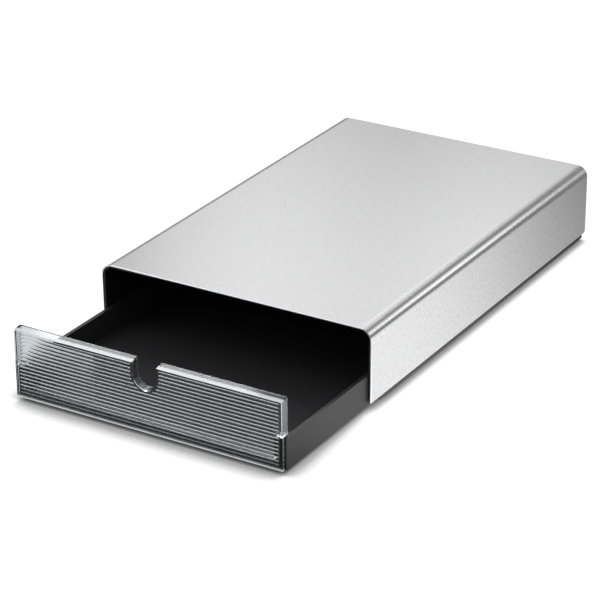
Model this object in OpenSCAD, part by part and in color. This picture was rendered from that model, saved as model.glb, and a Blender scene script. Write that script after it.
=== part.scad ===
// Coffee pod drawer: a fluted clear-fronted drawer that slides out of a low steel-covered housing.
// Millimetres, +Z up. The drawer opens towards -Y. The housing's mouth is at y = 0 in every module,
// and place() moves the finished pieces so that the origin is the bottom centre of the whole object.

/* [Housing] */
// Overall width of the steel cover
body_w = 260; // [240:1:300]
// Overall depth of the steel cover
body_d = 398; // [340:1:440]
// Height of the steel cover, from its lower edge to its top face
cover_h = 65; // [60:0.5:76]
// Thickness of the steel sheet
sheet_t = 1.2; // [0.8:0.1:1.5]
// Outside radius of the bends along the two upper edges
bend_r = 11; // [9:0.5:14]
// Radius of the sides' lower rear corners
heel_r = 4; // [1:0.5:6]
// Radius of the sides' lower front corners
toe_r = 1; // [0.5:0.5:3]

/* [Inner housing] */
// Wall thickness of the black inner shells
shell_t = 1.5; // [1.2:0.1:2]
// Thickness of the base shell's floor
floor_t = 1.4; // [1.2:0.1:2]
// How far the base shell reaches below the steel cover
base_drop = 5; // [4.5:0.1:7]
// Radius along the base shell's lower long edges
keel_r = 2; // [1:0.5:3]
// Distance from the steel's front edge back to the shells' front edge
lining_set_back = 0.8; // [0.5:0.1:2]
// Distance from the steel's front edge back to the front of the floor
floor_set_back = 18; // [16:1:20]
// How much further back the floor's sloping front edge lies at the bottom
floor_slope = 6; // [1:1:6]
// Distance from the steel's rear edge in to the shells' rear edge
rear_inset = 4; // [3:0.5:8]
// Height of the ship-lap joint between the two shells
lap_h = 3; // [2:0.5:5]
// Thickness of the bonding tape between the steel and the shells
tape_t = 0.3; // [0.2:0.05:0.5]
// Width of the three strips of tape under the top
top_tape_w = 24; // [12:1:40]
// Width of the strip of tape on each side
side_tape_w = 18; // [10:1:28]

/* [Rear panel] */
// Thickness of the rear panel
panel_t = 2.5; // [2:0.1:3]
// Depth of the pocket behind the rear panel
panel_pocket = 1; // [0.5:0.1:2]
// Assembly gap round pieces that drop into one another
fit_gap = 0.2; // [0.1:0.05:0.3]
// Diameter of the screws' shanks
screw_d = 2.9; // [2.5:0.1:3.5]
// Length of the screws under the head
screw_len = 10; // [8:0.5:12]
// Outside diameter of the screw bosses
boss_d = 7; // [6.5:0.5:9]
// Height of the lower pair of screws above the base
low_screw_z = 40; // [38:1:44]
// Height between the lower and the upper pair of screws
screw_rise = 14; // [10:1:16]

/* [Feet, runners, stops and bumpers] */
// Diameter of the rubber feet
foot_d = 14; // [10:1:18]
// How far the feet stand proud of the floor
foot_proud = 1.2; // [1:0.1:2.5]
// Depth of the pockets that the feet sit in
foot_sunk = 0.6; // [0.4:0.1:0.8]
// Distance from the cover's sides in to the feet's centres
foot_in_x = 22; // [18:1:30]
// Distance from the cover's front and rear edges in to the feet's centres
foot_in_y = 34; // [32:1:60]
// Height of the runners above the floor
runner_h = 2.2; // [2:0.1:3]
// Width of the runners
runner_w = 10; // [8:0.5:14]
// Distance from the housing's inner side walls in to the middle of each runner
runner_in = 43; // [39:1:50]
// Distance from the mouth back to the runners' front ends
runner_y = 24; // [23:1:30]
// Diameter of the pegs under the runners and the stops
peg_d = 4; // [3:0.5:5]
// Number of pegs under each runner
peg_count = 5; // [3:1:7]
// Distance of the end pegs from the runners' ends
peg_end = 10; // [6:1:20]
// Gap between the runners' rear ends and the rear panel
runner_end_gap = 2; // [1:0.5:4]
// Length of a stop block, along the drawer's travel
stop_len = 8; // [6:0.5:12]
// Width of a stop block
stop_w = 22; // [16:1:30]
// Distance from the housing's inner side walls in to the middle of each stop block
stop_in = 81; // [78:1:92]
// Distance from the mouth back to the stop blocks' front faces
stop_y = 30; // [26:1:36]
// Diameter of the rubber bumpers
bumper_d = 10; // [8:0.5:12]
// How far the bumpers stand out of the rear panel
bumper_h = 4; // [3:0.5:6]
// Distance from the housing's inner side walls in to the middle of each bumper
bumper_in = 47; // [32:1:67]
// Distance from the mouth back to the keeper ledges that stop the open drawer from tipping
keeper_y = 56; // [50:1:60]
// Length of the keeper ledges
keeper_len = 40; // [30:1:50]
// How far the keeper ledges stand in from the side walls
keeper_w = 3.5; // [2.5:0.5:4.5]
// Thickness of the keeper ledges
keeper_t = 2; // [1.5:0.1:2.5]
// Height of the moulding window in the wall under each keeper ledge
keeper_window = 3; // [2:0.5:4]

/* [Drawer] */
// How far the drawer is pulled out of its closed place, as drawn
drawer_out = 129; // [0:1:300]
// Longest travel of the drawer, from closed to the stops
travel = 300; // [250:1:310]
// How far the closed front lies behind the steel's front edge
front_recess = 1; // [0.5:0.5:3]
// Gap between the tray's side walls and the inner housing
side_gap = 0.7; // [0.4:0.1:1]
// Gap between the tray's lower edges and the housing's floor
skirt_gap = 0.4; // [0.3:0.1:0.8]
// Gap between the tray's floor and the runners
glide_gap = 0.15; // [0.1:0.05:0.3]
// Gap left at both ends of the travel
end_gap = 0.3; // [0.2:0.1:0.5]
// Height of the tray's side walls
wall_h = 26.4; // [24:0.2:28]
// Thickness of the tray's walls
wall_t = 2; // [1.6:0.1:2.4]
// Thickness of the tray's floor
tray_floor_t = 1.6; // [1.2:0.1:2]
// Radius of the tray's rear corners
tray_corner_r = 5; // [3:0.5:9]
// Width of each front post
post_w = 4.6; // [4:0.2:7]
// Height of the front posts above the side walls
post_rise = 2.3; // [1.5:0.1:5]
// Depth of the front posts' foot and the lip
frame_depth = 11.5; // [10:0.5:14]
// How far behind the plate's face the tall part of the front posts ends
post_depth = 7.8; // [6:0.1:9]
// Height of the front lip
lip_h = 7.3; // [6.8:0.1:9]
// How far the posts stand in from the side walls
post_step = 1.8; // [1.2:0.1:2.2]
// Distance from the front posts' face back to the side walls
groove_w = 2.2; // [1.6:0.1:3]
// Thickness of the ribs under the tray
rib_t = 1.4; // [1:0.1:2]
// Thickness of the stop rib under the tray
stop_rib_t = 3; // [2:0.5:5]
// Gap between a runner and the guide ribs on each side of it
guide_gap = 0.5; // [0.3:0.1:0.8]

/* [Insert] */
// Wall thickness of the insert
insert_t = 1.2; // [0.8:0.1:1.6]
// Thickness of the insert's rim, aprons and window collar
rim_t = 0.8; // [0.6:0.1:1]

/* [Clear front] */
// Thickness of the clear plate
plate_t = 2.4; // [2:0.1:3]
// Step between the tray's side walls and the edges of the plate
plate_step = 0.9; // [0.5:0.1:1.5]
// Height of the plate's lower edge above the tray's
plate_lift = 1; // [0.5:0.1:2]
// Gap between the top of the clear front and the mouth
top_gap = 3.35; // [2.5:0.05:5]
// Rise of the sloping top, from front to back
top_rise = 2.05; // [1:0.05:3]
// Depth of the flange, measured from the plate's front face
flange_depth = 7.8; // [6:0.1:9]
// Thickness of the flange
flange_t = 1.8; // [1.4:0.1:2.2]
// Radius of the plate's upper corners
plate_corner_r = 1.5; // [1:0.1:2]
// Width of the thumb notch
notch_w = 22.6; // [18:0.2:28]
// Depth of the thumb notch, from the top of the front face
notch_depth = 21.5; // [18:0.5:26]
// Spacing of the flutes
flute_pitch = 3.25; // [2.5:0.05:4.5]
// Height of a flute's crest above its valley
flute_h = 0.6; // [0.3:0.05:0.8]
// Width of the plain border left and right of the flutes
flute_margin = 2.4; // [1.5:0.1:5]
// Least height of the plain border above and below the flutes
flute_border = 1.2; // [0.8:0.1:3]

/* [Hidden] */
$fn = 64;

// Margin by which a cutter passes the face that it cuts
over = 1;
// Small radius on moulded inner edges
soft_r = 0.5;

// Housing: levels
floor_z0 = foot_proud;
floor_z1 = floor_z0 + floor_t;
cover_z0 = foot_proud + base_drop;
cover_z1 = cover_z0 + cover_h;
shell_z1 = cover_z1 - sheet_t - tape_t;
mouth_z1 = shell_z1 - shell_t;
bend_z = cover_z1 - bend_r;
lap_z = bend_z - lap_h;

// Housing: half widths
cover_x = body_w / 2;
shell_x = cover_x - sheet_t - tape_t;
mouth_x = shell_x - shell_t;
lap_x = shell_x - shell_t / 2;
runner_x = mouth_x - runner_in;
stop_x = mouth_x - stop_in;
bumper_x = mouth_x - bumper_in;

// Housing: places along the travel
shell_y0 = lining_set_back;
shell_y1 = body_d - rear_inset;
panel_y1 = shell_y1 - panel_pocket;
panel_y0 = panel_y1 - panel_t;

// Radii of the sheet's and the shells' bends, all on one centre
sheet_inner_r = bend_r - sheet_t;
shell_outer_r = sheet_inner_r - tape_t;
mouth_r = shell_outer_r - shell_t;

// Tray: levels
tray_z0 = floor_z1 + skirt_gap;
runner_z1 = floor_z1 + runner_h;
tray_floor_z0 = runner_z1 + glide_gap;
tray_floor_z1 = tray_floor_z0 + tray_floor_t;
wall_z1 = tray_z0 + wall_h;
lip_z1 = tray_z0 + lip_h;
post_z1 = wall_z1 + post_rise;
rib_z0 = tray_z0;

// Tray: half widths
tray_x = mouth_x - side_gap;
wall_x = tray_x - wall_t;
post_x1 = tray_x - post_step;
post_x0 = post_x1 - post_w;

// Tray: places behind the clear front's face
frame_y0 = plate_t + fit_gap / 2;
frame_y1 = frame_y0 + frame_depth;
wall_y0 = frame_y0 + groove_w;
tray_y1 = panel_y0 - bumper_h - end_gap - front_recess;

// Insert
insert_x = wall_x - fit_gap;
insert_y0 = frame_y1 + fit_gap;
insert_y1 = tray_y1 - wall_t - fit_gap;
collar_x = post_x0 - rim_t;
collar_z = lip_z1 + rim_t;
apron_y1 = wall_y0 - fit_gap / 2;

// Clear front
plate_x = tray_x - plate_step;
plate_z0 = tray_z0 + plate_lift;
plate_back_z = mouth_z1 - top_gap;
plate_front_z = plate_back_z - top_rise;
loop_x = collar_x - fit_gap;
loop_z0 = collar_z + fit_gap;
return_z0 = post_z1 + fit_gap;
notch_r = notch_w / 2;
notch_z = plate_front_z - notch_depth + notch_r;
flute_chord = flute_pitch - 0.1;
flute_r = (pow(flute_chord / 2, 2) + flute_h * flute_h) / (2 * flute_h);
flute_x = plate_x - flute_margin - flute_chord / 2;
flute_room = plate_front_z - plate_z0 - 2 * flute_border;
flute_count = floor(flute_room / flute_pitch);
flute_z0 = plate_z0 + (plate_front_z - plate_z0 - (flute_count - 1) * flute_pitch) / 2;

// Stops: the tray's rib meets the blocks at the end of the travel
stop_h = runner_h - glide_gap;
stop_rib_y = stop_y + stop_len + end_gap + travel - front_recess;

// Runners: rear end, and the places of the pegs along them
runner_y1 = panel_y0 - runner_end_gap;
function peg_y(i) = runner_y + peg_end + i * (runner_y1 - runner_y - 2 * peg_end) / (peg_count - 1);

// Bumpers: half way up the tray's rear wall
bumper_z = (tray_floor_z1 + wall_z1) / 2;

// Pan heads of the screws
head_d = 2 * screw_d;
head_h = 0.7 * screw_d;

// Keeper ledges: just above the insert's rim
keeper_z0 = wall_z1 + rim_t + skirt_gap;

// Where the drawer is drawn, and the middle of the whole object
drawer_y = front_recess - drawer_out;
middle_y = (min(0, drawer_y) + body_d) / 2;

// ---- Helpers ----

module place() {
    translate([0, -middle_y, 0])
        children();
}

module place_drawer() {
    place()
        translate([0, drawer_y, 0])
            children();
}

// Extrudes an outline drawn in X and Z along Y, from y0 to y1
module along_y(y0, y1) {
    translate([0, y1, 0])
        rotate([90, 0, 0])
            linear_extrude(y1 - y0)
                children();
}

// Extrudes an outline drawn in Y and Z along X, from x0 to x1
module along_x(x0, x1) {
    translate([x0, 0, 0])
        rotate([90, 0, 90])
            linear_extrude(x1 - x0)
                children();
}

// A box between two corners
module block(low, high) {
    translate(low)
        cube(high - low);
}

// A rectangle, centred on x = 0, whose upper corners are round
module arch(half_w, z0, z1, r) {
    intersection() {
        translate([-half_w, z0])
            square([2 * half_w, z1 - z0]);
        union() {
            translate([-half_w, z0])
                square([2 * half_w, z1 - r - z0]);
            translate([-half_w + r, z0])
                square([2 * (half_w - r), z1 - z0]);
            for (side = [-1, 1])
                translate([side * (half_w - r), z1 - r])
                    circle(r);
        }
    }
}

// A rectangle between two corners, all four corners round
module round_rect(low, high, r) {
    translate([low.x + r, low.y])
        square([high.x - low.x - 2 * r, high.y - low.y]);
    translate([low.x, low.y + r])
        square([high.x - low.x, high.y - low.y - 2 * r]);
    for (x = [low.x + r, high.x - r], y = [low.y + r, high.y - r])
        translate([x, y])
            circle(r);
}

// A straight-fronted plan outline whose two rear corners are round
module tray_plan(half_w, y0, y1, r) {
    translate([-half_w, y0])
        square([2 * half_w, y1 - r - y0]);
    translate([-half_w + r, y0])
        square([2 * (half_w - r), y1 - y0]);
    for (side = [-1, 1])
        translate([side * (half_w - r), y1 - r])
            circle(r);
}

module left_and_right() {
    for (side = [0, 1])
        mirror([side, 0, 0])
            children();
}

// ---- Housing ----

// Fillet cutter for a lower corner of the cover's sides, seen along X
module corner_cutter(y, z, r, facing) {
    along_x(-cover_x - over, cover_x + over)
        difference() {
            translate([min(y, y - facing * r) - (facing < 0 ? over : 0), z - over])
                square([r + over, r + over]);
            translate([y - facing * r, z + r])
                circle(r);
            translate([min(y, y - facing * r) - (facing < 0 ? over : 0), z + r])
                square([r + over, over]);
        }
}

module steel_cover() {
    color([0.78, 0.78, 0.79])
        place()
            difference() {
                along_y(0, body_d)
                    difference() {
                        arch(cover_x, cover_z0, cover_z1, bend_r);
                        arch(cover_x - sheet_t, cover_z0 - over, cover_z1 - sheet_t, sheet_inner_r);
                    }
                corner_cutter(body_d, cover_z0, heel_r, 1);
                corner_cutter(0, cover_z0, toe_r, -1);
            }
}

module top_shell() {
    color([0.05, 0.05, 0.055])
        place()
            along_y(shell_y0, shell_y1)
                difference() {
                    arch(shell_x, lap_z, shell_z1, shell_outer_r);
                    arch(mouth_x, lap_z - over, mouth_z1, mouth_r);
                    // Recess for the base shell's tongue
                    translate([-lap_x - fit_gap / 2, lap_z - over])
                        square([2 * lap_x + fit_gap, lap_h + over]);
                }
}

// The floor and both sides of the base shell, as one bent outline
module base_outline() {
    difference() {
        union() {
            round_rect([-shell_x, floor_z0], [shell_x, floor_z0 + 2 * keel_r + over], keel_r);
            translate([-shell_x, floor_z0 + keel_r])
                square([2 * shell_x, lap_z - floor_z0 - keel_r]);
            translate([-lap_x, lap_z - over])
                square([2 * lap_x, lap_h - fit_gap + over]);
        }
        translate([-mouth_x, floor_z1 + soft_r])
            square([2 * mouth_x, bend_z]);
        round_rect([-mouth_x, floor_z1], [mouth_x, floor_z1 + 2 * soft_r + over], soft_r);
    }
}

module at_feet() {
    for (side = [-1, 1], y = [foot_in_y, body_d - foot_in_y])
        translate([side * (cover_x - foot_in_x), y, 0])
            children();
}

module at_screws() {
    for (side = [-1, 1], rise = [0, screw_rise])
        translate([side * (mouth_x - boss_d / 2), panel_y0, low_screw_z + rise])
            rotate([90, 0, 0])
                children();
}

// Ledges over the tray's side walls, each with a sloping front that leads the tray under it
module keeper_ledges() {
    left_and_right()
        difference() {
            block(
                [mouth_x - keeper_w, keeper_y, keeper_z0],
                [mouth_x + soft_r, keeper_y + keeper_len, keeper_z0 + keeper_t]
            );
            along_x(mouth_x - keeper_w - over, mouth_x)
                polygon([
                    [keeper_y - over, keeper_z0 - over],
                    [keeper_y + keeper_t / 2, keeper_z0],
                    [keeper_y, keeper_z0 + keeper_t / 2],
                    [keeper_y - over, keeper_z0 + keeper_t / 2]
                ]);
        }
}

module base_shell() {
    color([0.05, 0.05, 0.055])
        place()
            difference() {
                union() {
                    along_y(shell_y0, shell_y1)
                        base_outline();
                    // Screw bosses, each tied to the side wall by a web
                    at_screws() {
                        cylinder(d = boss_d, h = screw_len);
                    }
                    for (side = [-1, 1], rise = [0, screw_rise])
                        block(
                            [side > 0 ? mouth_x - boss_d / 2 : -mouth_x - soft_r,
                                panel_y0 - screw_len, low_screw_z + rise - boss_d / 2],
                            [side > 0 ? mouth_x + soft_r : -mouth_x + boss_d / 2,
                                panel_y0, low_screw_z + rise + boss_d / 2]
                        );
                    keeper_ledges();
                }
                left_and_right()
                    block(
                        [mouth_x - over, keeper_y, keeper_z0 - keeper_window],
                        [shell_x + over, keeper_y + keeper_len, keeper_z0]
                    );
                // Open strip behind the mouth, level with the steel's lower edge
                along_x(-cover_x, cover_x)
                    polygon([
                        [0, 0],
                        [floor_set_back + floor_slope, 0],
                        [floor_set_back + floor_slope, floor_z0],
                        [floor_set_back, cover_z0],
                        [0, cover_z0]
                    ]);
                at_feet()
                    translate([0, 0, floor_z0 - over])
                        cylinder(d = foot_d + 2 * fit_gap, h = foot_sunk + over);
                for (side = [-1, 1], i = [0:peg_count - 1])
                    translate([side * runner_x, peg_y(i), floor_z0 - over])
                        cylinder(d = peg_d + fit_gap, h = floor_t + 2 * over);
                for (side = [-1, 1])
                    translate([side * stop_x, stop_y + stop_len / 2, floor_z0 - over])
                        cylinder(d = peg_d + fit_gap, h = floor_t + 2 * over);
                at_screws()
                    translate([0, 0, -over])
                        cylinder(d = screw_d + fit_gap, h = screw_len + 2 * over);
            }
}

module rear_panel() {
    color([0.09, 0.09, 0.095])
        place()
            difference() {
                union() {
                    along_y(panel_y0, panel_y1)
                        arch(mouth_x - fit_gap, floor_z1 + fit_gap, mouth_z1 - fit_gap, mouth_r - fit_gap);
                    // Stiffening frame on the inner face, above the drawer
                    along_y(panel_y0 - 3, panel_y0)
                        difference() {
                            translate([-mouth_x + boss_d + 4, wall_z1 + 6])
                                square([2 * (mouth_x - boss_d - 4), mouth_z1 - wall_z1 - 10]);
                            translate([-mouth_x + boss_d + 5.5, wall_z1 + 7.5])
                                square([2 * (mouth_x - boss_d - 5.5), mouth_z1 - wall_z1 - 13]);
                        }
                }
                at_screws()
                    translate([0, 0, -panel_t - over])
                        cylinder(d = screw_d + 2 * fit_gap, h = panel_t + 2 * over);
                for (side = [-1, 1])
                    translate([side * bumper_x, panel_y1 + over, bumper_z])
                        rotate([90, 0, 0])
                            cylinder(d = peg_d + fit_gap, h = panel_t + 2 * over);
            }
}

module rear_screws() {
    color([0.7, 0.7, 0.7])
        place()
            at_screws() {
                translate([0, 0, -panel_t])
                    cylinder(d = screw_d, h = screw_len + panel_t - 1);
                // Pan head with a cross recess
                difference() {
                    translate([0, 0, -panel_t - head_h])
                        cylinder(d = head_d, h = head_h);
                    for (turn = [0, 90])
                        rotate([0, 0, turn])
                            translate([0, 0, -panel_t - head_h])
                                cube([head_d * 0.55, screw_d / 4, head_h], center = true);
                }
            }
}

// ---- Bonding tape ----

module top_tape(x) {
    color([0.85, 0.85, 0.83])
        place()
            block(
                [x - top_tape_w / 2, shell_y0 + 12, shell_z1],
                [x + top_tape_w / 2, shell_y1 - 12, shell_z1 + tape_t]
            );
}

module top_tape_left() {
    top_tape(-0.36 * body_w);
}

module top_tape_middle() {
    top_tape(0);
}

module top_tape_right() {
    top_tape(0.36 * body_w);
}

module side_tape(side) {
    z = (cover_z0 + lap_z) / 2;
    color([0.85, 0.85, 0.83])
        place()
            block(
                [side > 0 ? shell_x : -shell_x - tape_t, shell_y0 + 12, z - side_tape_w / 2],
                [side > 0 ? shell_x + tape_t : -shell_x, shell_y1 - 12, z + side_tape_w / 2]
            );
}

module side_tape_left() {
    side_tape(-1);
}

module side_tape_right() {
    side_tape(1);
}

// ---- Feet, runners, stops and bumpers ----

module foot(side, y) {
    edge = foot_proud / 2;
    color([0.12, 0.12, 0.12])
        place()
            translate([side * (cover_x - foot_in_x), y, 0])
                rotate_extrude()
                    difference() {
                        square([foot_d / 2, foot_proud + foot_sunk]);
                        translate([foot_d / 2 - edge, -over])
                            difference() {
                                square([edge + over, edge + over]);
                                translate([0, edge + over])
                                    circle(edge);
                            }
                    }
}

module foot_front_left() {
    foot(-1, foot_in_y);
}

module foot_front_right() {
    foot(1, foot_in_y);
}

module foot_rear_left() {
    foot(-1, body_d - foot_in_y);
}

module foot_rear_right() {
    foot(1, body_d - foot_in_y);
}

module runner(side) {
    color([0.9, 0.9, 0.88])
        place()
            translate([side * runner_x, 0, 0]) {
                // Both ends ramp up so that the tray never catches on them
                along_x(-runner_w / 2, runner_w / 2)
                    polygon([
                        [runner_y, floor_z1],
                        [runner_y + runner_h * 2, runner_z1],
                        [runner_y1 - runner_h * 2, runner_z1],
                        [runner_y1, floor_z1]
                    ]);
                for (i = [0:peg_count - 1])
                    translate([0, peg_y(i), floor_z0])
                        cylinder(d = peg_d, h = floor_t + runner_h / 2);
            }
}

module runner_left() {
    runner(-1);
}

module runner_right() {
    runner(1);
}

module stop_block(side) {
    color([0.2, 0.2, 0.2])
        place()
            translate([side * stop_x, stop_y, 0]) {
                // The back meets the tray's rib and the front is a ramp
                along_x(-stop_w / 2, stop_w / 2)
                    polygon([
                        [0, floor_z1],
                        [stop_len / 2, floor_z1 + stop_h],
                        [stop_len, floor_z1 + stop_h],
                        [stop_len, floor_z1]
                    ]);
                translate([0, stop_len / 2, floor_z0])
                    cylinder(d = peg_d, h = floor_t + stop_h / 2);
            }
}

module stop_left() {
    stop_block(-1);
}

module stop_right() {
    stop_block(1);
}

module bumper(side) {
    color([0.12, 0.12, 0.12])
        place()
            translate([side * bumper_x, 0, bumper_z])
                rotate([90, 0, 0]) {
                    translate([0, 0, -panel_y0])
                        cylinder(d = bumper_d, h = bumper_h);
                    translate([0, 0, -panel_y1])
                        cylinder(d = peg_d, h = panel_t + 1);
                    translate([0, 0, -panel_y1 - 1])
                        cylinder(d = peg_d + 1.5, h = 1);
                }
}

module bumper_left() {
    bumper(-1);
}

module bumper_right() {
    bumper(1);
}

// ---- Drawer ----

// The lip and both posts, as one frame open at the top
module front_frame() {
    // Hollow lip: front wall, top and cross ribs, open below
    block([-post_x1, frame_y0, tray_z0], [post_x1, frame_y0 + wall_t, lip_z1]);
    block([-post_x1, frame_y0, lip_z1 - tray_floor_t], [post_x1, frame_y1, lip_z1]);
    block([-post_x1, frame_y1 - wall_t, tray_floor_z0], [post_x1, frame_y1, lip_z1]);
    for (i = [-3:3])
        block(
            [i * post_x0 / 3.5 - rib_t / 2, frame_y0, rib_z0],
            [i * post_x0 / 3.5 + rib_t / 2, frame_y1, lip_z1]
        );
    left_and_right() {
        block([post_x0, frame_y0, tray_z0], [post_x1 + soft_r, frame_y1, wall_z1]);
        block([post_x0, frame_y0, tray_z0], [post_x1 + soft_r, post_depth, post_z1]);
    }
}

module drawer_tray() {
    color([0.31, 0.31, 0.31])
        place_drawer()
            difference() {
                union() {
                    // Walls and floor
                    difference() {
                        translate([0, 0, tray_z0])
                            linear_extrude(wall_h)
                                tray_plan(tray_x, wall_y0, tray_y1, tray_corner_r);
                        translate([0, 0, tray_floor_z1])
                            linear_extrude(wall_h)
                                tray_plan(wall_x, 0, tray_y1 - wall_t, tray_corner_r - wall_t);
                        translate([0, 0, tray_z0 - over])
                            linear_extrude(tray_floor_z0 - tray_z0 + over)
                                tray_plan(wall_x, 0, tray_y1 + over + tray_corner_r, over);
                    }
                    front_frame();
                    // Guide ribs, one on each side of each runner
                    for (side = [-1, 1], edge = [-1, 1])
                        guide_rib(side * runner_x + edge * (runner_w / 2 + guide_gap + rib_t / 2));
                    // Stop rib, cut back to the lanes of the stop blocks
                    for (side = [-1, 1])
                        block(
                            [side * stop_x - stop_w / 2, stop_rib_y, rib_z0],
                            [side * stop_x + stop_w / 2, stop_rib_y + stop_rib_t, tray_floor_z0 + soft_r]
                        );
                }
                // The side walls start behind a groove, so the posts stand clear of them
                left_and_right()
                    block([post_x1, 0, tray_z0 - over], [cover_x, wall_y0, post_z1 + over]);
            }
}

module guide_rib(x) {
    block([x - rib_t / 2, frame_y1, rib_z0], [x + rib_t / 2, tray_y1 - 8, tray_floor_z0 + soft_r]);
}

// The rim runs on past the posts, covers their lower part behind the flange and turns down as
// an apron over the front end of each wall
module rim_ends() {
    left_and_right() {
        block(
            [post_x1 + soft_r + fit_gap / 2, apron_y1 - rim_t, wall_z1],
            [tray_x, insert_y0 + over, wall_z1 + rim_t]
        );
        block(
            [collar_x, post_depth + fit_gap, wall_z1],
            [tray_x, insert_y0 + over, wall_z1 + rim_t]
        );
        block(
            [post_x1 + fit_gap / 2, apron_y1 - rim_t, plate_z0],
            [tray_x, apron_y1, wall_z1 + rim_t]
        );
    }
}

module tray_insert() {
    inner_r = tray_corner_r - wall_t - fit_gap;
    color([0.06, 0.06, 0.065])
        place_drawer()
            difference() {
                union() {
                    translate([0, 0, tray_floor_z1])
                        linear_extrude(wall_z1 - tray_floor_z1 + rim_t)
                            tray_plan(insert_x, insert_y0, insert_y1, inner_r);
                    // Rim that covers the tops of the tray's walls
                    translate([0, 0, wall_z1])
                        linear_extrude(rim_t)
                            tray_plan(tray_x, frame_y1 + fit_gap, tray_y1, tray_corner_r);
                    rim_ends();
                    // Collar that lines the window between the posts
                    block([-post_x0, frame_y0, lip_z1], [post_x0, insert_y0 + insert_t, collar_z]);
                    left_and_right() {
                        block(
                            [collar_x, frame_y0, lip_z1],
                            [post_x0, insert_y0 + insert_t, wall_z1 + rim_t]
                        );
                        block([collar_x, frame_y0, lip_z1], [post_x0, post_depth, post_z1]);
                    }
                }
                translate([0, 0, tray_floor_z1 + insert_t])
                    linear_extrude(post_z1)
                        tray_plan(
                            insert_x - insert_t, insert_y0 + insert_t, insert_y1 - insert_t,
                            inner_r - insert_t
                        );
                // Window above the lip
                block([-collar_x, 0, collar_z], [collar_x, insert_y0 + insert_t + over, cover_z1]);
            }
}

// ---- Clear front ----

// U-shaped outline of the thumb notch, widened by extra and open at the top
module notch_outline(extra) {
    translate([0, notch_z])
        circle(notch_r + extra);
    translate([-notch_r - extra, notch_z])
        square([2 * (notch_r + extra), cover_z1 - notch_z]);
}

// Outline of the space that the flange runs round: wide above the posts, narrow between them
module loop_outline(inset) {
    arch(plate_x - inset, return_z0 + inset, plate_back_z, plate_corner_r);
    round_rect(
        [-loop_x + inset, loop_z0 + inset], [loop_x - inset, return_z0 + flange_t + over],
        soft_r
    );
}

// Everything above the sloping top, lowered by drop
module above_slope(drop) {
    along_x(-cover_x, cover_x)
        polygon([
            [-over, plate_front_z - drop - over * top_rise / flange_depth],
            [flange_depth + over, plate_back_z - drop + over * top_rise / flange_depth],
            [flange_depth + over, cover_z1],
            [-over, cover_z1]
        ]);
}

module flute(z) {
    // A long crest with a ball end, cut off by the valley's plane
    translate([0, flute_r, z]) {
        rotate([0, 90, 0])
            cylinder(r = flute_r, h = 2 * flute_x, center = true);
        for (side = [-1, 1])
            translate([side * flute_x, 0, 0])
                sphere(flute_r);
    }
}

module clear_front() {
    color([0.85, 0.92, 0.95, 0.4])
        place_drawer()
            difference() {
                union() {
                    // Plate behind the flutes, and the plain border round them
                    along_y(flute_h, plate_t)
                        arch(plate_x, plate_z0, plate_back_z, plate_corner_r);
                    along_y(0, plate_t)
                        difference() {
                            arch(plate_x, plate_z0, plate_back_z, plate_corner_r);
                            flute_field();
                        }
                    // Flutes
                    intersection() {
                        for (i = [0:flute_count - 1])
                            flute(flute_z0 + i * flute_pitch);
                        block([-plate_x, 0, plate_z0], [plate_x, plate_t, plate_front_z]);
                    }
                    // Smooth lip round the thumb notch
                    along_y(0, flange_depth)
                        intersection() {
                            notch_outline(flange_t);
                            arch(plate_x, plate_z0, plate_back_z, plate_corner_r);
                        }
                    // Flange round the back
                    difference() {
                        along_y(plate_t / 2, flange_depth)
                            loop_outline(0);
                        difference() {
                            along_y(plate_t, flange_depth + over)
                                loop_outline(flange_t);
                            above_slope(flange_t);
                        }
                    }
                }
                above_slope(0);
                along_y(-over, flange_depth + over)
                    notch_outline(0);
            }
}

// The area that the flutes fill, with a plain border all round it
module flute_field() {
    low_z = flute_z0 - flute_pitch / 2;
    translate([-flute_x - flute_chord / 2, low_z])
        square([2 * flute_x + flute_chord, flute_count * flute_pitch]);
}

steel_cover();
top_shell();
base_shell();
rear_panel();
rear_screws();
top_tape_left();
top_tape_middle();
top_tape_right();
side_tape_left();
side_tape_right();
foot_front_left();
foot_front_right();
foot_rear_left();
foot_rear_right();
runner_left();
runner_right();
stop_left();
stop_right();
bumper_left();
bumper_right();
drawer_tray();
tray_insert();
clear_front();
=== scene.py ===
import math

import bmesh
import bpy
from mathutils import Matrix, Vector


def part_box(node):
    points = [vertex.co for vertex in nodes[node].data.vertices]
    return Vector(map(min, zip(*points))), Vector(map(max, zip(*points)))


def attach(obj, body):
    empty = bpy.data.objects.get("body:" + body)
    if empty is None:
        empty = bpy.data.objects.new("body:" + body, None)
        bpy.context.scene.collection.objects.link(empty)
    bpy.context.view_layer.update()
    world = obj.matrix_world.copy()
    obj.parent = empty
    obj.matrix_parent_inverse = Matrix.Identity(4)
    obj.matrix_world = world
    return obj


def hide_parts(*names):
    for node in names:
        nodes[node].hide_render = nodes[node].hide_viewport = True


bl_info = {
    "name": "Coffee Pod Drawer",
    "version": (1, 0, 0),
    "blender": (4, 5, 0),
    "location": "View3D > Sidebar > Pod Drawer",
    "description": "Dresses a low steel-covered drawer for coffee pods and sets up a small studio",
    "category": "Object",
}

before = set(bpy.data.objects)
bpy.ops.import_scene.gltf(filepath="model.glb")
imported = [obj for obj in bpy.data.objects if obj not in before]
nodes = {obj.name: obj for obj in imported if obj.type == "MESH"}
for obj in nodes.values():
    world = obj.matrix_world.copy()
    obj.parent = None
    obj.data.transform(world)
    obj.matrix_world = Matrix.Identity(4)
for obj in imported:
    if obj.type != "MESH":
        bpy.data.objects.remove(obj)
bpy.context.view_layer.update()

MM = 0.001
HOUSING = "housing"
DRAWER = "drawer"


# ---- Helpers: colours, nodes, meshes ----


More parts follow.
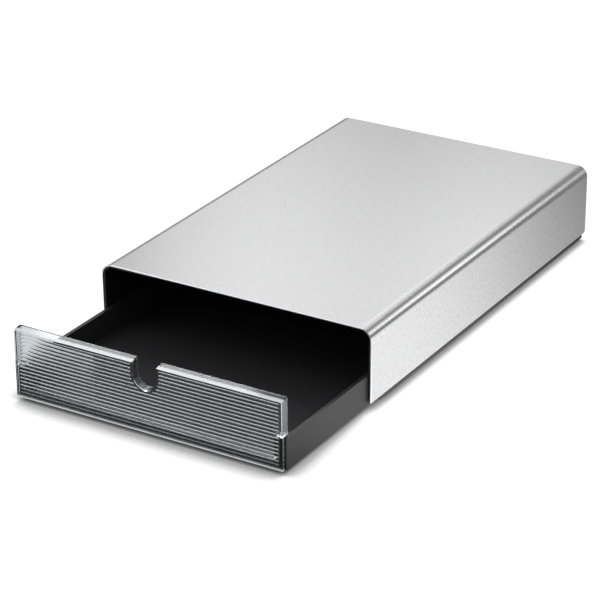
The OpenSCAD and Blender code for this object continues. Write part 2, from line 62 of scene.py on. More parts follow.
def linear(hex_colour):
    """Turns an sRGB colour such as "#505050" into Blender's linear RGBA."""
    channels = []
    for start in (1, 3, 5):
        value = int(hex_colour[start:start + 2], 16) / 255
        channels.append(value / 12.92 if value <= 0.04045 else ((value + 0.055) / 1.055) ** 2.4)
    return (*channels, 1.0)


def add_node(tree, kind, inputs=None, **settings):
    """Adds one node: settings are its properties, inputs fill its sockets with values or links.

    A Mix node takes its factor in socket 0 and its colours in 6 and 7, and gives the mix at 2.
    """
    made = tree.nodes.new(kind)
    for name, value in settings.items():
        setattr(made, name, value)
    for socket, value in (inputs or {}).items():
        if isinstance(value, bpy.types.NodeSocket):
            tree.links.new(value, made.inputs[socket])
        else:
            made.inputs[socket].default_value = value
    return made


def new_material(name):
    """An empty node material, its tree and its Principled shader, which is already wired up."""
    material = bpy.data.materials.new(name)
    material.use_nodes = True
    tree = material.node_tree
    return material, tree, tree.nodes["Principled BSDF"]


def dress(node_names, material):
    """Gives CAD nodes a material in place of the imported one."""
    for name in node_names:
        mesh = nodes[name].data
        mesh.materials.clear()
        mesh.materials.append(material)


# Corners closer than this are one corner, faces that differ by less are one plane, edges that
# turn by more are rounded, and edges that then still turn by more stay creased
SAME_CORNER = 0.001 * MM
SAME_PLANE = math.radians(0.2)
ROUNDED_FROM = math.radians(30)
CREASED_FROM = math.radians(50)


def rounded_copy(
    node_name, piece_name, body, material, width, segments=2, leave=None, clamp=True,
):
    """A piece in place of a CAD node, its sharp edges rounded as the press or mould leaves them.

    leave tells, from the middle of an edge, that it stays sharp. Without clamp, short facets in
    a bend don't hold the rounding back.
    """
    shape = bmesh.new()
    shape.from_mesh(nodes[node_name].data)
    bmesh.ops.remove_doubles(shape, verts=shape.verts, dist=SAME_CORNER)
    bmesh.ops.dissolve_limit(
        shape, angle_limit=SAME_PLANE, verts=shape.verts, edges=shape.edges,
    )
    corners = [
        edge for edge in shape.edges
        if edge.is_manifold and edge.calc_face_angle(0) > ROUNDED_FROM
        and not (leave and leave((edge.verts[0].co + edge.verts[1].co) / 2))
    ]
    bmesh.ops.bevel(
        shape, geom=corners, offset=width, segments=segments, profile=0.5, affect="EDGES",
        clamp_overlap=clamp,
    )
    for face in shape.faces:
        face.smooth = True
    for edge in shape.edges:
        edge.smooth = not edge.is_manifold or edge.calc_face_angle(0) < CREASED_FROM
    mesh = bpy.data.meshes.new(piece_name)
    shape.to_mesh(mesh)
    shape.free()
    mesh.materials.append(material)
    piece = bpy.data.objects.new(piece_name, mesh)
    bpy.context.collection.objects.link(piece)
    # Flat faces stay flat, and the rounding alone turns the light
    shading = piece.modifiers.new("shading", "WEIGHTED_NORMAL")
    shading.weight = 100
    shading.keep_sharp = True
    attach(piece, body)
    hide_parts(node_name)
    return piece


# ---- Settings that a user would change ----


class FinishSettings(bpy.types.PropertyGroup):
    """Colours and grain size of the drawer's surfaces."""

    steel: bpy.props.FloatVectorProperty(
        name="Stainless steel", description="Colour of the brushed steel sheet",
        default=linear("#CDCDCE")[:3], subtype="COLOR", size=3, min=0, max=1,
    )
    black: bpy.props.FloatVectorProperty(
        name="Black housing", description="Colour of the inner housing and the rear panel",
        default=linear("#0B0B0C")[:3], subtype="COLOR", size=3, min=0, max=1,
    )
    grey: bpy.props.FloatVectorProperty(
        name="Grey tray", description="Colour of the matte drawer tray",
        default=linear("#464646")[:3], subtype="COLOR", size=3, min=0, max=1,
    )
    liner: bpy.props.FloatVectorProperty(
        name="Black insert", description="Colour of the removable insert",
        default=linear("#2A2A2C")[:3], subtype="COLOR", size=3, min=0, max=1,
    )
    clear: bpy.props.FloatVectorProperty(
        name="Clear front", description="Tint of the clear fluted front",
        default=linear("#F4FAFD")[:3], subtype="COLOR", size=3, min=0, max=1,
    )
    grain: bpy.props.FloatProperty(
        name="Brush grain", description="Spacing of the brush marks in the steel",
        default=1.2 * MM, min=0.05 * MM, max=2 * MM, unit="LENGTH", precision=5,
    )


class StudioSettings(bpy.types.PropertyGroup):
    """Camera and lamps."""

    azimuth: bpy.props.FloatProperty(
        name="Azimuth", description="Camera heading, 0 looks along +Y",
        default=math.radians(31.226), subtype="ANGLE", unit="ROTATION",
    )
    elevation: bpy.props.FloatProperty(
        name="Elevation", description="How far the camera looks down",
        default=math.radians(24.970), subtype="ANGLE", unit="ROTATION",
    )
    roll: bpy.props.FloatProperty(
        name="Roll", description="Turn of the camera about its own axis",
        default=math.radians(-0.399), subtype="ANGLE", unit="ROTATION",
    )
    lens: bpy.props.FloatProperty(
        name="Lens", description="Focal length on a 36 mm wide sensor, in millimetres",
        default=152.54, min=20, max=400, unit="CAMERA",
    )
    camera_place: bpy.props.FloatVectorProperty(
        name="Camera place", description="Where the camera stands",
        default=(1.01714, -1.70692, 0.93832), subtype="TRANSLATION", unit="LENGTH", size=3,
    )
    lamp_level: bpy.props.FloatProperty(
        name="Lamp level", description="Brightness of all softboxes together",
        default=1.0, min=0, max=4, subtype="FACTOR",
    )


# ---- Materials ----

# Noise seldom leaves its middle span. Taking that span alone spreads a pattern over its whole
# range, and taking the full span keeps the pattern near the middle of its range
NOISE_SPAN = {"From Min": 0.3, "From Max": 0.7}
FULL_SPAN = {"From Min": 0.0, "From Max": 1.0}

# Brush marks in the steel: how many times as long as wide they are, how dark the darkest are
# on the top and on the sides, how bright the brightest are, and the roughness that they add
MARK_LENGTH = 3
TOP_MARKS = 0.92
SIDE_MARKS = 0.80
BRIGHT_MARKS = 1.02
MARK_ROUGHNESS = 0.03
# Roughness of the flat steel and of its bends. A bend is smoothest where the sideways and the
# upward part of its surface's direction, multiplied, reach this. At its middle they reach 0.5
FLAT_ROUGHNESS = 0.31
BEND_ROUGHNESS = 0.18
WHOLLY_BENT = 0.35


def brushed_stainless_steel(finish):
    """Cold-rolled stainless sheet, belt-brushed: a broad satin sheen with short fine cross marks.

    The marks are drawn about ten times as coarse as real ones, which would be too fine to see.
    """
    material, tree, shader = new_material("brushed_stainless_steel")
    place = add_node(tree, "ShaderNodeTexCoord")
    # The belt ran round the bends, so marks are long in X and Z and narrow in Y
    marks = 1 / finish.grain
    along = marks / MARK_LENGTH
    stretch = add_node(
        tree, "ShaderNodeMapping",
        {"Vector": place.outputs["Object"], "Scale": (along, marks, along)},
    )
    streaks = add_node(
        tree, "ShaderNodeTexNoise",
        {"Vector": stretch.outputs["Vector"], "Scale": 1.0, "Detail": 1.0, "Roughness": 0.5},
    )
    # The belt bites deeper on the sides than on the top
    surface = add_node(tree, "ShaderNodeNewGeometry")
    facing = add_node(tree, "ShaderNodeSeparateXYZ", {"Vector": surface.outputs["Normal"]})
    sideways = add_node(tree, "ShaderNodeMath", {0: facing.outputs["X"]}, operation="ABSOLUTE")
    bite = add_node(
        tree, "ShaderNodeMapRange",
        {"Value": sideways.outputs[0], "To Min": TOP_MARKS, "To Max": SIDE_MARKS},
    )
    shade = add_node(
        tree, "ShaderNodeMapRange",
        {**NOISE_SPAN, "Value": streaks.outputs["Fac"],
         "To Min": bite.outputs["Result"], "To Max": BRIGHT_MARKS},
    )
    tone = add_node(
        tree, "ShaderNodeMix",
        {0: 1.0, 6: (*finish.steel, 1), 7: shade.outputs["Result"]},
        data_type="RGBA", blend_type="MULTIPLY",
    )
    # The press brake leaves the bends smoother than the flat sheet, with crisper lines of light
    bent = add_node(
        tree, "ShaderNodeMath", {0: sideways.outputs[0], 1: facing.outputs["Z"]},
        operation="MULTIPLY", use_clamp=True,
    )
    pressed = add_node(
        tree, "ShaderNodeMapRange",
        {"Value": bent.outputs[0], "From Max": WHOLLY_BENT,
         "To Min": FLAT_ROUGHNESS, "To Max": BEND_ROUGHNESS},
    )
    rough = add_node(
        tree, "ShaderNodeMath",
        {0: streaks.outputs["Fac"], 1: MARK_ROUGHNESS, 2: pressed.outputs["Result"]},
        operation="MULTIPLY_ADD",
    )
    across = add_node(tree, "ShaderNodeCombineXYZ", {"Y": 1.0})
    tree.links.new(tone.outputs[2], shader.inputs["Base Color"])
    tree.links.new(rough.outputs[0], shader.inputs["Roughness"])
    tree.links.new(across.outputs["Vector"], shader.inputs["Tangent"])
    shader.inputs["Metallic"].default_value = 1.0
    shader.inputs["Anisotropic"].default_value = 0.6
    return material


def abraded_metal(name, colour, grit, detail, span, smoothest, roughest):
    """Bare or plated steel, rougher in some spots than in others, which gives a soft shine.

    The spots are drawn coarser than real ones, which would be too fine to see.
    """
    material, tree, shader = new_material(name)
    place = add_node(tree, "ShaderNodeTexCoord")
    nicks = add_node(
        tree, "ShaderNodeTexNoise",
        {"Vector": place.outputs["Object"], "Scale": 1 / grit, "Detail": detail},
    )
    rough = add_node(
        tree, "ShaderNodeMapRange",
        {**span, "Value": nicks.outputs["Fac"], "To Min": smoothest, "To Max": roughest},
    )
    tree.links.new(rough.outputs["Result"], shader.inputs["Roughness"])
    shader.inputs["Base Color"].default_value = linear(colour)
    shader.inputs["Metallic"].default_value = 1.0
    return material


def deburred_steel_edge_and_highlight():
    """The sheet's cut edge, rounded over with an abrasive wheel: an even soft shine, and a
    brighter colour that is partly a painted highlight along the edge.
    """
    return abraded_metal(
        "deburred_steel_edge_and_highlight", "#EDEDEE", grit=2 * MM, detail=2.0, span=NOISE_SPAN,
        smoothest=0.35, roughest=0.45,
    )


def zinc_plated_steel():
    """Barrel-plated screws: a cool grey with a lively speckled shine."""
    return abraded_metal(
        "zinc_plated_steel", "#C9CBCF", grit=0.4 * MM, detail=3.0, span=FULL_SPAN,
        smoothest=0.2, roughest=0.45,
    )


# How much a moulded surface's roughness and tone change over its grain, and how strongly the
# grain tilts the surface
ROUGHNESS_CHANGE = 0.1
TONE_CHANGE = 0.05
GRAIN_STRENGTH = 0.3


def moulded_plastic(name, colour, roughness, grain, depth, ior=1.53):
    """Injection-moulded plastic or rubber that shows its tool: polished, plain or spark-eroded.

    Grains under 1 mm are drawn two to four times as coarse as real ones.
    """
    material, tree, shader = new_material(name)
    place = add_node(tree, "ShaderNodeTexCoord")
    pores = add_node(
        tree, "ShaderNodeTexNoise",
        {"Vector": place.outputs["Object"], "Scale": 1 / grain, "Detail": 2.0, "Roughness": 0.5},
    )
    rough = add_node(
        tree, "ShaderNodeMapRange",
        {**NOISE_SPAN, "Value": pores.outputs["Fac"],
         "To Min": roughness * (1 - ROUGHNESS_CHANGE),
         "To Max": roughness * (1 + ROUGHNESS_CHANGE)},
    )
    shade = add_node(
        tree, "ShaderNodeMapRange",
        {**NOISE_SPAN, "Value": pores.outputs["Fac"],
         "To Min": 1 - TONE_CHANGE, "To Max": 1 + TONE_CHANGE},
    )
    tone = add_node(
        tree, "ShaderNodeMix",
        {0: 1.0, 6: (*colour, 1), 7: shade.outputs["Result"]},
        data_type="RGBA", blend_type="MULTIPLY",
    )
    relief = add_node(
        tree, "ShaderNodeBump",
        {"Height": pores.outputs["Fac"], "Strength": GRAIN_STRENGTH, "Distance": depth},
    )
    tree.links.new(tone.outputs[2], shader.inputs["Base Color"])
    tree.links.new(rough.outputs["Result"], shader.inputs["Roughness"])
    tree.links.new(relief.outputs["Normal"], shader.inputs["Normal"])
    shader.inputs["IOR"].default_value = ior
    return material


# The clear front: how far back the painted highlight on its top reaches, height of the painted
# highlight along its lowest edge, top of the tray's lip behind it, depth of the flutes, plain
# border at their sides and above and below them, rise of the sloping top, and half the width of
# the thumb notch
TOP_HIGHLIGHT_DEPTH = 3.6 * MM
BOTTOM_HIGHLIGHT_HEIGHT = 1.2 * MM
LIP_TOP = 10.3 * MM
FLUTE_DEPTH = 0.7 * MM
FLUTE_MARGIN = 2.2 * MM
FLUTE_BORDER = 1.5 * MM
TOP_RISE = 2.05 * MM
NOTCH_HALF_WIDTH = 11.5 * MM
# How far up a flank faces where its painted highlight starts and is full, how white the full
# painted highlight is, and how far behind the flutes' floor it still lies. The same for the top
# edge's painted highlight. In front of the lip a share of the flanks' painted highlight is left,
# and the rest fades in above it
FLANK_FACING = {"From Min": 0.40, "From Max": 0.52}
FLANK_HIGHLIGHT_WHITE = 0.9
FLANK_MARGIN = 0.1 * MM
TOP_FACING = {"From Min": 0.6, "From Max": 0.93}
TOP_HIGHLIGHT_WHITE = 0.7
LIP_SHARE = 0.2
LIP_FADE = 5 * MM


def moulded_clear_san(finish):
    """Clear styrene from a polished tool: glassy, but white in place of clear where highlights are
    painted on.
    """
    material, tree, shader = new_material("moulded_clear_san")
    low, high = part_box("clear_front")
    place = add_node(tree, "ShaderNodeTexCoord")
    surface = add_node(tree, "ShaderNodeNewGeometry")
    facing = add_node(tree, "ShaderNodeSeparateXYZ", {"Vector": surface.outputs["Normal"]})
    spot = add_node(tree, "ShaderNodeSeparateXYZ", {"Vector": place.outputs["Object"]})

    # Painted highlight: each flute's upper flank is partly white instead of clear, which shows as
    # a light line
    flank = add_node(
        tree, "ShaderNodeMapRange",
        {**FLANK_FACING, "Value": facing.outputs["Z"], "To Min": 0.0, "To Max": FLANK_HIGHLIGHT_WHITE},
        interpolation_type="SMOOTHSTEP",
    )
    in_flutes = add_node(
        tree, "ShaderNodeMath",
        {0: spot.outputs["Y"], 1: low[1] + FLUTE_DEPTH + FLANK_MARGIN}, operation="LESS_THAN",
    )
    flank = add_node(
        tree, "ShaderNodeMath", {0: flank.outputs["Result"], 1: in_flutes.outputs[0]},
        operation="MULTIPLY",
    )
    # The painted highlight is mostly left out in front of the tray's lip
    above_lip = add_node(
        tree, "ShaderNodeMapRange",
        {"Value": spot.outputs["Z"], "From Min": LIP_TOP, "From Max": LIP_TOP + LIP_FADE,
         "To Min": LIP_SHARE, "To Max": 1.0},
    )
    flank = add_node(
        tree, "ShaderNodeMath", {0: flank.outputs[0], 1: above_lip.outputs["Result"]},
        operation="MULTIPLY",
    )

    # Painted highlight: the top is partly white instead of clear for the front half of its depth
    upward = add_node(
        tree, "ShaderNodeMapRange",
        {**TOP_FACING, "Value": facing.outputs["Z"], "To Min": 0.0, "To Max": TOP_HIGHLIGHT_WHITE},
    )
    topmost = add_node(
        tree, "ShaderNodeMath", {0: spot.outputs["Z"], 1: high[2] - 2 * TOP_RISE},
        operation="GREATER_THAN",
    )
    foremost = add_node(
        tree, "ShaderNodeMath", {0: spot.outputs["Y"], 1: low[1] + TOP_HIGHLIGHT_DEPTH},
        operation="LESS_THAN",
    )
    on_top = add_node(
        tree, "ShaderNodeMath", {0: topmost.outputs[0], 1: foremost.outputs[0]},
        operation="MULTIPLY",
    )
    upward = add_node(
        tree, "ShaderNodeMath", {0: upward.outputs["Result"], 1: on_top.outputs[0]},
        operation="MULTIPLY",
    )

    # Painted highlight: the lowest edge is white instead of clear too
    rim = add_node(
        tree, "ShaderNodeMath", {0: spot.outputs["Z"], 1: low[2] + BOTTOM_HIGHLIGHT_HEIGHT},
        operation="LESS_THAN",
    )
    # The painted highlights together take the place of that much clearness
    painted_highlights = add_node(
        tree, "ShaderNodeMath", {0: flank.outputs[0], 1: upward.outputs[0]}, operation="MAXIMUM",
    )
    painted_highlights = add_node(
        tree, "ShaderNodeMath", {0: painted_highlights.outputs[0], 1: rim.outputs[0]}, operation="MAXIMUM",
    )
    clear = add_node(
        tree, "ShaderNodeMath", {0: 1.0, 1: painted_highlights.outputs[0]}, operation="SUBTRACT",
    )
    tree.links.new(clear.outputs[0], shader.inputs["Transmission Weight"])
    shader.inputs["Base Color"].default_value = (*finish.clear, 1)
    shader.inputs["Roughness"].default_value = 0.02
    shader.inputs["IOR"].default_value = 1.57
    return material


# ---- Pieces ----

# The steel sheet's thickness, and the rounding of its outer edges, left by the deburring wheel
SHEET_THICKNESS = 1.2 * MM
EDGE_BREAK = 0.9 * MM
# A face that looks this far along Y is part of a cut edge
EDGE_FACING = 0.2


class DRAWER_OT_steel_cover(bpy.types.Operator):
    """Finish the brushed steel sheet that wraps the housing"""

    bl_idname = "pod_drawer.steel_cover"
    bl_label = "Steel cover"

    def execute(self, context):
        steel = brushed_stainless_steel(context.scene.pod_drawer_finish)
        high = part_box("steel_cover")[1]

        def inside(place):
            return (
                abs(place.x) < high[0] - 0.5 * SHEET_THICKNESS
                and place.z < high[2] - 0.5 * SHEET_THICKNESS
            )

        sheet = rounded_copy(
            "steel_cover", "steel_sheet", HOUSING, steel, width=EDGE_BREAK,
            segments=4, leave=inside, clamp=False,
        )
        # The cut edges at the mouth and at the back, brighter than the sheet partly as a painted
        # highlight
        sheet.data.materials.append(deburred_steel_edge_and_highlight())
        for face in sheet.data.polygons:
            if abs(face.normal.y) > EDGE_FACING:
                face.material_index = 1
        return {"FINISHED"}


class DRAWER_OT_shells(bpy.types.Operator):
    """Finish the black shells and the rear panel"""

    bl_idname = "pod_drawer.shells"
    bl_label = "Inner housing"

    def execute(self, context):
        black = context.scene.pod_drawer_finish.black
        # A polished tool leaves a gloss with a faint slow ripple
        gloss = moulded_plastic(
            "moulded_gloss_black_abs", black, roughness=0.12, grain=6 * MM, depth=0.01 * MM,
        )
        # A spark-eroded tool leaves a fine dry grain
        matte = moulded_plastic(
            "spark_eroded_black_abs", black, roughness=0.55, grain=0.5 * MM, depth=0.03 * MM,
        )
        rounded_copy(
            "top_shell", "upper_shell", HOUSING, gloss, width=0.2 * MM,
        )
        dress(["base_shell", "rear_panel"], matte)
        return {"FINISHED"}


class DRAWER_OT_tray(bpy.types.Operator):
    """Finish the grey tray and its black insert"""

    bl_idname = "pod_drawer.tray"
    bl_label = "Drawer tray and insert"

    def execute(self, context):
        finish = context.scene.pod_drawer_finish
        # A coarse spark-eroded grain, so that the tray looks matte and even
        grey = moulded_plastic(
            "spark_eroded_grey_abs", finish.grey, roughness=0.65, grain=0.5 * MM,
            depth=0.03 * MM,
        )
        # A plain tool gives polypropylene a soft waxy shine
        liner = moulded_plastic(
            "moulded_satin_polypropylene", finish.liner, roughness=0.42, grain=3 * MM,
            depth=0.02 * MM, ior=1.49,
        )
        rounded_copy("drawer_tray", "grey_tray", DRAWER, grey, width=0.3 * MM)
        rounded_copy(
            "tray_insert", "black_insert", DRAWER, liner, width=0.25 * MM,
        )
        return {"FINISHED"}


class DRAWER_OT_clear_front(bpy.types.Operator):
    """Finish the clear fluted front"""

    bl_idname = "pod_drawer.clear_front"
    bl_label = "Clear front"

    def execute(self, context):
        clear = moulded_clear_san(context.scene.pod_drawer_finish)
        low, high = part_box("clear_front")

        def in_flutes(place):
            return (
                place.y < low[1] + FLUTE_DEPTH
                and NOTCH_HALF_WIDTH < abs(place.x) < high[0] - FLUTE_MARGIN
                and low[2] + FLUTE_BORDER < place.z < high[2] - FLUTE_BORDER - TOP_RISE
            )

        rounded_copy(
            "clear_front", "fluted_front", DRAWER, clear, width=0.45 * MM,
            segments=3, leave=in_flutes,
        )
        return {"FINISHED"}


class DRAWER_OT_small_parts(bpy.types.Operator):
    """Finish the screws, feet, bumpers, runners, stops and bonding tape"""

    bl_idname = "pod_drawer.small_parts"
    bl_label = "Small parts"

    def execute(self, context):
        # Rubber is dull and dark, acetal smooth with a slight shine, and foam dull and pale
        rubber = moulded_plastic(
            "moulded_black_rubber", linear("#1C1C1C")[:3], roughness=0.8, grain=0.4 * MM,
            depth=0.03 * MM, ior=1.52,
        )
        runner = moulded_plastic(
            "moulded_natural_acetal", linear("#E6E6E0")[:3], roughness=0.35, grain=2 * MM,
            depth=0.01 * MM, ior=1.48,
        )
        stop = moulded_plastic(
            "moulded_black_acetal", linear("#262626")[:3], roughness=0.35, grain=2 * MM,
            depth=0.01 * MM, ior=1.48,
        )
        tape = moulded_plastic(
            "white_foam_tape", linear("#D8D8D2")[:3], roughness=0.9, grain=0.3 * MM,
            depth=0.02 * MM, ior=1.45,
        )
        dress([name for name in nodes if name.startswith(("foot", "bumper"))], rubber)
        dress([name for name in nodes if name.startswith("runner")], runner)
        dress([name for name in nodes if name.startswith("stop")], stop)
        dress([name for name in nodes if "tape" in name], tape)
        dress(["rear_screws"], zinc_plated_steel())
        return {"FINISHED"}


# ---- Stage ----

# Name, place, width and height in metres, brightness of the middle, where 1 is as bright as a
# white card, and where the fade to nothing at the edges starts, as a share of the half width
SOFTBOXES = (
    ("overhead", (0.0, 0.0, 1.70), (3.4, 3.4), 0.75, 0.4),
    ("key", (0.18, 0.95, 1.48), (1.4, 1.4), 0.75, 0.4),
    ("left_strip", (-0.773, 0.371, 1.184), (0.30, 0.38), 2.4, 0.8),
    ("back_left_wide", (-0.75, 1.00, 0.80), (0.55, 0.72), 1.35, 0.4),
    ("back_left", (-0.50, 1.00, 0.79), (0.9, 0.8), 0.36, 0.4),
    ("back_middle_low", (-0.36, 1.00, 0.72), (0.4, 0.6), 0.70, 0.4),
    ("back_middle", (-0.22, 1.00, 0.80), (0.9, 0.8), 0.66, 0.4),
    ("back_right_high", (0.82, 1.34, 0.80), (0.5, 0.5), 1.15, 0.4),
    ("back_right", (1.00, 1.34, 0.62), (0.5, 0.5), 2.0, 0.4),
    ("front_left_high", (-0.86, -0.80, 1.20), (1.5, 1.5), 1.3, 0.4),
    ("front_left", (-0.84, -1.40, 0.65), (1.5, 1.4), 0.85, 0.4),
    ("front_right", (1.25, -0.75, 0.90), (0.9, 0.9), 0.4, 0.4),
)

FLOOR_HALF_WIDTH = 6.0
# How pale the floor is as its light falls on the drawer, to the eye and in a mirror, and in a
# mirror in front of the drawer
PALE = linear("#F2F2F2")
GREY = linear("#6C6C6C")
DARK = linear("#191919")
# The pool of light that mirrors show on the floor: bright in front, dim at the back
POOL = {"From Min": -0.24, "From Max": 0.30, "To Min": 1.42, "To Max": 0.18}
# The dark strip across the pool in front of the drawer: its end towards the drawer, and its end
# towards the room
STRIP_BACK = {"From Min": -0.28, "From Max": -0.16, "To Min": 0.05, "To Max": 1.0}
STRIP_FRONT = {"From Min": -0.46, "From Max": -0.36, "To Min": 0.8, "To Max": 0.0}
# How far the shadow reaches, which is further in front because the lamps stand behind
SHADOW_REACH = {"From Min": -0.27, "From Max": -0.14, "To Min": 33 * MM, "To Max": 11.5 * MM}
# The floor's glow by how open the sky above it is: in the soft shadow, and where pieces touch it
SOFT_SHADOW = {"From Min": 0.57, "From Max": 0.84, "To Min": 0.29, "To Max": 1.0}
CONTACT_SHADOW = {"From Min": 0.15, "From Max": 0.45, "To Min": 0.1, "To Max": 1.0}
# A ray that goes straight through the clear plate has bent twice, and not more often
STRAIGHT_THROUGH = 2.5
# The floor's glow behind clear plastic
BEHIND_CLEAR = 0.62
# The world's level on the drawer and to the eye. Rays through clear plastic get a share of the
# step between them: less than none after many bends, which looks darker, and most after two
WORLD_LEVELS = {"To Min": 0.38, "To Max": 1.0}
CLEAR_SHARES = {"To Min": -0.3, "To Max": 0.6}


class DRAWER_OT_stage(bpy.types.Operator):
    """Build the floor, the lamps and the camera"""

    bl_idname = "pod_drawer.stage"
    bl_label = "Studio"

    def execute(self, context):
        studio = context.scene.pod_drawer_studio
        self.floor()
        self.world(context.scene)
        self.lamps(studio)
        self.camera(context.scene, studio)
        context.scene.view_settings.view_transform = "Standard"
        return {"FINISHED"}

    def floor(self):
        """One wide flat sheet under the feet."""
        mesh = bpy.data.meshes.new("floor")
        half = FLOOR_HALF_WIDTH
        corners = [(-half, -half, 0), (half, -half, 0), (half, half, 0), (-half, half, 0)]
        mesh.from_pydata(corners, [], [(0, 1, 2, 3)])
        floor = bpy.data.objects.new("floor", mesh)
        bpy.context.collection.objects.link(floor)
        mesh.materials.append(self.pale_floor())

    def pale_floor(self):
        """White to the eye with a soft shadow, and a shaped pool of light in reflections."""
        material, tree, shader = new_material("pale_floor")
        tree.nodes.remove(shader)
        path = add_node(tree, "ShaderNodeLightPath")
        place = add_node(tree, "ShaderNodeNewGeometry")
        split = add_node(tree, "ShaderNodeSeparateXYZ", {"Vector": place.outputs["Position"]})

        # In reflections the floor is a pool of light in front that falls off towards the back
        aside = add_node(tree, "ShaderNodeMath", {0: split.outputs["X"]}, operation="ABSOLUTE")
        behind = add_node(
            tree, "ShaderNodeMath", {0: split.outputs["Y"], 1: aside.outputs[0]},
            operation="SUBTRACT",
        )
        pool = add_node(
            tree, "ShaderNodeMapRange", {**POOL, "Value": behind.outputs[0]},
            interpolation_type="SMOOTHSTEP",
        )
        ahead = add_node(
            tree, "ShaderNodeMapRange", {**STRIP_BACK, "Value": split.outputs["Y"]},
            interpolation_type="SMOOTHSTEP",
        )
        far_ahead = add_node(
            tree, "ShaderNodeMapRange", {**STRIP_FRONT, "Value": split.outputs["Y"]},
            interpolation_type="SMOOTHSTEP",
        )
        off_strip = add_node(
            tree, "ShaderNodeMath",
            {0: ahead.outputs["Result"], 1: far_ahead.outputs["Result"]}, operation="MAXIMUM",
        )
        pool = add_node(
            tree, "ShaderNodeMath", {0: pool.outputs["Result"], 1: off_strip.outputs[0]},
            operation="MULTIPLY",
        )
        mirrored = add_node(
            tree, "ShaderNodeMath",
            {0: path.outputs["Is Glossy Ray"], 1: path.outputs["Is Transmission Ray"]},
            operation="SUBTRACT", use_clamp=True,
        )

        # Clear plastic shows the floor, but rays that bend often find it dark in front
        straight = add_node(
            tree, "ShaderNodeMath", {0: path.outputs["Ray Depth"], 1: STRAIGHT_THROUGH},
            operation="LESS_THAN",
        )
        clear_view = add_node(
            tree, "ShaderNodeMath", {0: straight.outputs[0], 1: ahead.outputs["Result"]},
            operation="MAXIMUM",
        )
        through = add_node(
            tree, "ShaderNodeMath",
            {0: path.outputs["Is Transmission Ray"], 1: clear_view.outputs[0]},
            operation="MULTIPLY",
        )
        seen = add_node(
            tree, "ShaderNodeMath",
            {0: through.outputs[0], 1: BEHIND_CLEAR, 2: path.outputs["Is Camera Ray"]},
            operation="MULTIPLY_ADD",
        )

        # The drawer gets light off a pale floor, and the eye and mirrors little beyond the glow
        colour = add_node(
            tree, "ShaderNodeMix", {0: path.outputs["Is Camera Ray"], 6: PALE, 7: GREY},
            data_type="RGBA",
        )
        in_mirror = add_node(
            tree, "ShaderNodeMix", {0: ahead.outputs["Result"], 6: DARK, 7: GREY},
            data_type="RGBA",
        )
        colour = add_node(
            tree, "ShaderNodeMix",
            {0: path.outputs["Is Glossy Ray"], 6: colour.outputs[2], 7: in_mirror.outputs[2]},
            data_type="RGBA",
        )
        matte = add_node(tree, "ShaderNodeBsdfDiffuse", {"Color": colour.outputs[2]})

        # The shadow is drawn from how open the sky is above each spot
        reach = add_node(
            tree, "ShaderNodeMapRange", {**SHADOW_REACH, "Value": split.outputs["Y"]},
        )
        sky = add_node(
            tree, "ShaderNodeAmbientOcclusion", {"Distance": reach.outputs["Result"]}, samples=8,
        )
        soft = add_node(
            tree, "ShaderNodeMapRange", {**SOFT_SHADOW, "Value": sky.outputs["AO"]},
            interpolation_type="SMOOTHSTEP",
        )
        contact = add_node(
            tree, "ShaderNodeMapRange", {**CONTACT_SHADOW, "Value": sky.outputs["AO"]},
        )
        unshaded = add_node(
            tree, "ShaderNodeMath", {0: soft.outputs["Result"], 1: contact.outputs["Result"]},
            operation="MULTIPLY",
        )
        glow = add_node(
            tree, "ShaderNodeMath", {0: seen.outputs[0], 1: unshaded.outputs[0]},
            operation="MULTIPLY",
        )
        glow = add_node(
            tree, "ShaderNodeMath",
            {0: mirrored.outputs[0], 1: pool.outputs[0], 2: glow.outputs[0]},
            operation="MULTIPLY_ADD",
        )
        emission = add_node(tree, "ShaderNodeEmission", {"Strength": glow.outputs[0]})
        both = add_node(tree, "ShaderNodeAddShader", {0: matte.outputs[0], 1: emission.outputs[0]})
        tree.links.new(both.outputs[0], tree.nodes["Material Output"].inputs["Surface"])
        return material

    def world(self, scene):
        """White to the eye, and a dimmer even light on the drawer."""
        world = bpy.data.worlds.new("studio")
        world.use_nodes = True
        scene.world = world
        tree = world.node_tree
        back = tree.nodes["Background"]
        path = add_node(tree, "ShaderNodeLightPath")
        straight = add_node(
            tree, "ShaderNodeMath", {0: path.outputs["Ray Depth"], 1: STRAIGHT_THROUGH},
            operation="LESS_THAN",
        )
        share = add_node(
            tree, "ShaderNodeMapRange", {**CLEAR_SHARES, "Value": straight.outputs[0]},
        )
        seen = add_node(
            tree, "ShaderNodeMath",
            {0: path.outputs["Is Transmission Ray"], 1: share.outputs["Result"],
             2: path.outputs["Is Camera Ray"]},
            operation="MULTIPLY_ADD",
        )
        level = add_node(
            tree, "ShaderNodeMapRange", {**WORLD_LEVELS, "Value": seen.outputs[0]}, clamp=False,
        )
        tree.links.new(level.outputs["Result"], back.inputs["Strength"])
        back.inputs["Color"].default_value = linear("#FFFFFF")

    def lamps(self, studio):
        """Softboxes that face the drawer, hidden from the camera, each fading out at its edges."""
        for name, place, size, brightness, solid in SOFTBOXES:
            lamp = bpy.data.lights.new(name, "AREA")
            lamp.shape = "RECTANGLE"
            lamp.size, lamp.size_y = size
            # An area lamp of this power looks as bright as a white card of that brightness
            lamp.energy = brightness * studio.lamp_level * math.pi * size[0] * size[1]
            lamp.use_nodes = True
            tree = lamp.node_tree
            across = add_node(tree, "ShaderNodeNewGeometry")
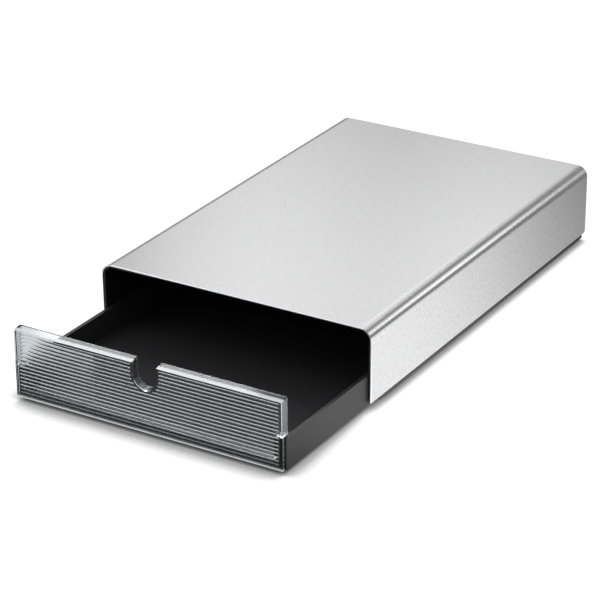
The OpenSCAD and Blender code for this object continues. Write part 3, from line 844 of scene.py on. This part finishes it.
            # Turns 0 to 1 across the lamp into -1 to 1
            centred = add_node(
                tree, "ShaderNodeVectorMath",
                {0: across.outputs["Parametric"], 1: (2, 2, 0), 2: (-1, -1, 0)},
                operation="MULTIPLY_ADD",
            )
            reach = add_node(
                tree, "ShaderNodeVectorMath", {0: centred.outputs[0]}, operation="LENGTH",
            )
            fade = add_node(
                tree, "ShaderNodeMapRange",
                {"Value": reach.outputs["Value"], "From Min": solid, "From Max": 1.0,
                 "To Min": 1.0, "To Max": 0.0},
                interpolation_type="SMOOTHSTEP",
            )
            tree.links.new(fade.outputs["Result"], tree.nodes["Emission"].inputs["Strength"])
            holder = bpy.data.objects.new(name, lamp)
            holder.location = place
            holder.rotation_mode = "QUATERNION"
            holder.rotation_quaternion = (-Vector(place)).to_track_quat("-Z", "Y")
            holder.visible_camera = False
            bpy.context.collection.objects.link(holder)

    def camera(self, scene, studio):
        """A long lens on a full-frame sensor, turned as the studio settings say."""
        camera = bpy.data.cameras.new("camera")
        camera.lens = studio.lens
        camera.sensor_width = 36
        camera.sensor_fit = "HORIZONTAL"
        camera.clip_start, camera.clip_end = 0.05, 50
        holder = bpy.data.objects.new("camera", camera)
        bpy.context.collection.objects.link(holder)
        heading, drop = studio.azimuth, studio.elevation
        forward = Vector((
            -math.sin(heading) * math.cos(drop), math.cos(heading) * math.cos(drop),
            -math.sin(drop),
        ))
        right = forward.cross(Vector((0, 0, 1))).normalized()
        up = right.cross(forward)
        turned = Matrix.Rotation(-studio.roll, 3, forward)
        right, up = turned @ right, turned @ up
        holder.matrix_world = Matrix.Translation(studio.camera_place) @ Matrix(
            (right, up, -forward)
        ).transposed().to_4x4()
        scene.camera = holder


class DRAWER_PT_panel(bpy.types.Panel):
    """Sidebar panel that lists the settings and the operators"""

    bl_idname = "DRAWER_PT_panel"
    bl_label = "Coffee Pod Drawer"
    bl_space_type = "VIEW_3D"
    bl_region_type = "UI"
    bl_category = "Pod Drawer"

    def draw(self, context):
        layout = self.layout
        for settings in (context.scene.pod_drawer_finish, context.scene.pod_drawer_studio):
            box = layout.box()
            for name in settings.__annotations__:
                box.prop(settings, name)
        column = layout.column(align=True)
        for operator in OPERATORS:
            column.operator(operator.bl_idname)


OPERATORS = (
    DRAWER_OT_stage,
    DRAWER_OT_steel_cover,
    DRAWER_OT_shells,
    DRAWER_OT_tray,
    DRAWER_OT_clear_front,
    DRAWER_OT_small_parts,
)
CLASSES = (FinishSettings, StudioSettings, *OPERATORS, DRAWER_PT_panel)


def register():
    for made in CLASSES:
        bpy.utils.register_class(made)
    bpy.types.Scene.pod_drawer_finish = bpy.props.PointerProperty(type=FinishSettings)
    bpy.types.Scene.pod_drawer_studio = bpy.props.PointerProperty(type=StudioSettings)


def unregister():
    del bpy.types.Scene.pod_drawer_studio
    del bpy.types.Scene.pod_drawer_finish
    for made in reversed(CLASSES):
        bpy.utils.unregister_class(made)


def main():
    register()
    for operator in OPERATORS:
        group, name = operator.bl_idname.split(".")
        getattr(getattr(bpy.ops, group), name)()


if __name__ == "__main__":
    main()
